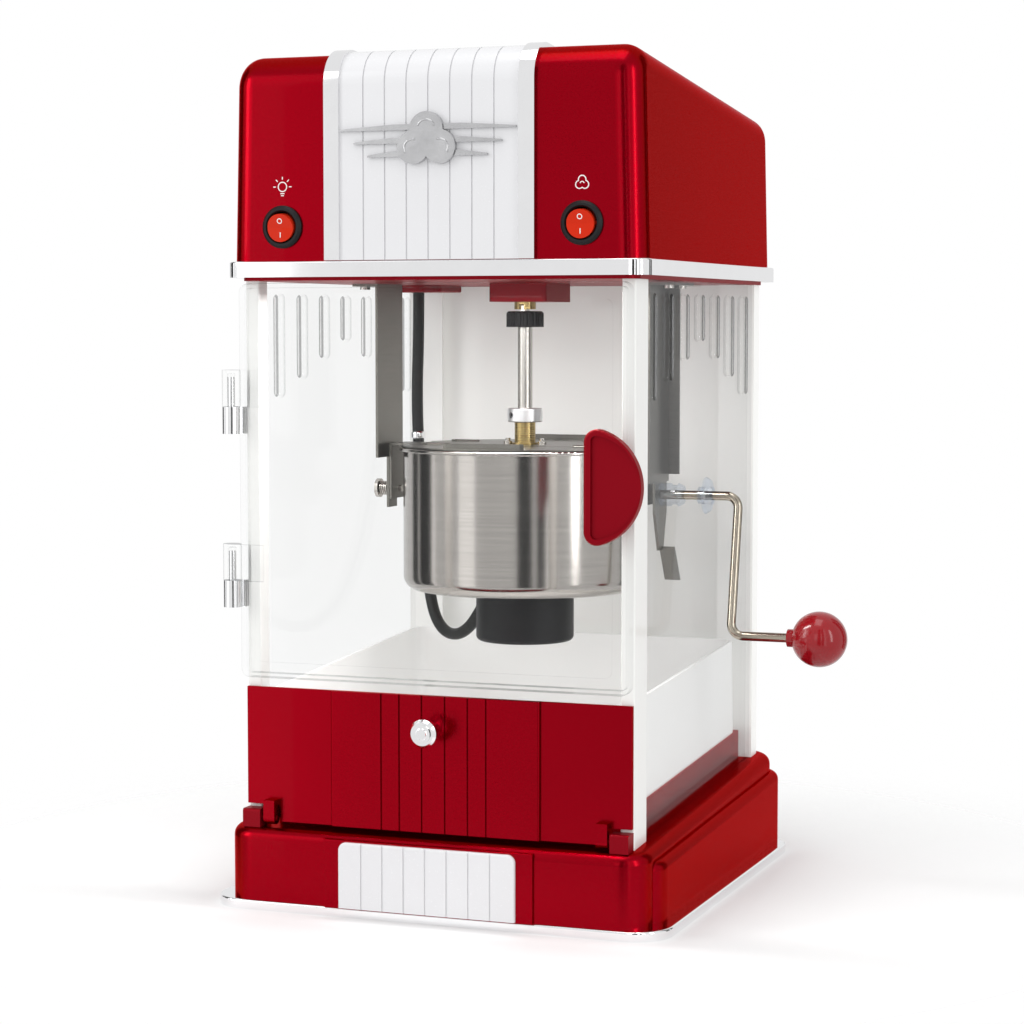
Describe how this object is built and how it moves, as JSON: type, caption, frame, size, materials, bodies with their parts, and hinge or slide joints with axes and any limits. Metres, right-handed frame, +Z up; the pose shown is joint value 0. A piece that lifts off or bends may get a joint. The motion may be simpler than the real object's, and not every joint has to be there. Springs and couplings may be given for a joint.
{
  "type": "popcorn maker",
  "caption": "Table-top kettle popcorn maker: clear cabinet with hinged door and drop panel, crank-tipped kettle with motor stirrer, red rounded hood and base.",
  "frame": {"origin": "centre of the base plate's underside, on the surface it stands on", "axes": "+Z up, -Y out of the door side, +X towards the crank"},
  "size_m": [0.3277, 0.2811, 0.4681],
  "materials": {
    "candy_red": "deep glossy red lacquer",
    "red_satin": "glossy moulded red plastic",
    "white_gloss": "glossy white moulding",
    "white_paint": "white enamelled sheet",
    "bin_white": "translucent white plastic",
    "chrome_trim": "bright chrome plate",
    "chromed_plastic": "bright metallised plastic",
    "brushed_alloy": "turned aluminium",
    "clear_acrylic": "clear polished acrylic",
    "pot_steel": "spun stainless steel",
    "sheet_steel": "galvanised sheet steel",
    "brass": "turned brass",
    "black_plastic": "black moulded plastic",
    "black_rubber": "soft black rubber",
    "lead_sheath": "black flexible sheath",
    "gear_plastic": "natural nylon",
    "screw_steel": "zinc-plated steel",
    "ball_red": "polished red phenolic",
    "clear_tinted": "clear plastic with a blue tint",
    "lamp_glass": "clear lamp glass"
  },
  "bodies": {
    "cabinet": {"base_plate": "chromed_plastic", "rubber_feet": "black_rubber", "base_housing": "candy_red", "badge_panel": "white_gloss", "front_post_left": "white_paint", "front_post_right": "white_paint", "back_frame": "white_paint", "side_window_left": "clear_acrylic", "side_window_right": "clear_acrylic", "crank_bushing": "clear_tinted", "popcorn_tray": "bin_white", "ceiling_plate": "red_satin", "motor_boss": "red_satin", "trim_band": "chromed_plastic", "top_housing": "candy_red", "cord_gland": "black_rubber", "top_centre_panel": "white_gloss", "top_trim_strips": "chromed_plastic", "emblem": "chromed_plastic", "switch_bezels": "black_plastic", "motor_stator": "sheet_steel", "gearbox_case": "gear_plastic", "lamp_lens": "lamp_glass", "lamp_bulb": "lamp_glass", "hanger_left": "sheet_steel", "hanger_right": "sheet_steel", "hanger_screws": "screw_steel", "kettle_lead": "lead_sheath", "lead_clip": "chrome_trim", "lead_socket": "red_satin", "door_hinge_brackets": "chrome_trim", "panel_hinge_blocks": "red_satin"},
    "door": {"door_window": "clear_acrylic", "door_handle": "red_satin", "door_hinge_leaves": "clear_acrylic"},
    "front_flap": {"drop_panel": "candy_red", "panel_knob": "chrome_trim"},
    "kettle": {"kettle_pot": "pot_steel", "kettle_bridge": "sheet_steel", "heater_housing": "black_plastic", "heating_element": "screw_steel", "kettle_screws": "screw_steel", "stir_bush": "brass", "pivot_pin": "screw_steel", "pivot_spring": "screw_steel", "crank_rod": "chrome_trim", "crank_knob": "ball_red", "crank_coupling": "clear_tinted"},
    "stirrer": {"stir_rod": "screw_steel", "stir_collar": "brushed_alloy", "collar_set_screw": "black_plastic", "stir_knob": "black_plastic", "agitator": "sheet_steel"},
    "drive": {"drive_sleeve": "brass", "drive_gear": "gear_plastic"},
    "rotor": {"motor_rotor": "screw_steel"},
    "front_lid": {"lid_flap_front": "sheet_steel"},
    "back_lid": {"lid_flap_back": "sheet_steel"},
    "light_switch": {"light_rocker": "red_satin"},
    "popper_switch": {"popper_rocker": "red_satin"}
  },
  "joints": [
    {"name": "door_hinge", "type": "hinge", "parent": "cabinet", "child": "door", "pos_m": [-0.1185, -0.128, 0.2359], "axis": [0, 0, -1], "range_deg": [0, 110]},
    {"name": "panel_hinge", "type": "hinge", "parent": "cabinet", "child": "front_flap", "pos_m": [0, -0.127, 0.05], "axis": [1, 0, 0], "range_deg": [0, 90]},
    {"name": "kettle_tilt", "type": "hinge", "parent": "cabinet", "child": "kettle", "pos_m": [0, 0.012, 0.224], "axis": [1, 0, 0], "range_deg": [0, 100], "deforming": ["kettle_lead"]},
    {"name": "front_lid", "type": "hinge", "parent": "kettle", "child": "front_lid", "pos_m": [0, -0.0084, 0.2513], "axis": [-1, 0, 0], "range_deg": [0, 80]},
    {"name": "back_lid", "type": "hinge", "parent": "kettle", "child": "back_lid", "pos_m": [0, 0.0384, 0.2513], "axis": [1, 0, 0], "range_deg": [0, 80]},
    {"name": "drive_spin", "type": "hinge", "parent": "cabinet", "child": "drive", "pos_m": [0, 0.015, 0.34], "axis": [0, 0, 1], "continuous": true},
    {"name": "motor_spin", "type": "hinge", "parent": "cabinet", "child": "rotor", "pos_m": [0.03, 0.015, 0.356], "axis": [0, 0, 1], "continuous": true},
    {"name": "stir_spin", "type": "hinge", "parent": "kettle", "child": "stirrer", "pos_m": [0, 0.015, 0.26], "axis": [0, 0, 1], "continuous": true},
    {"name": "light_rocker", "type": "hinge", "parent": "cabinet", "child": "light_switch", "pos_m": [-0.0853, -0.13, 0.3732], "axis": [-1, 0, 0], "range_deg": [0, 14]},
    {"name": "popper_rocker", "type": "hinge", "parent": "cabinet", "child": "popper_switch", "pos_m": [0.0853, -0.13, 0.3732], "axis": [-1, 0, 0], "range_deg": [0, 14]}
  ],
  "couplings": [
    {"joint": "motor_spin", "follows": "drive_spin", "ratio": -3},
    {"joint": "stir_spin", "follows": "drive_spin", "ratio": 1}
  ]
}
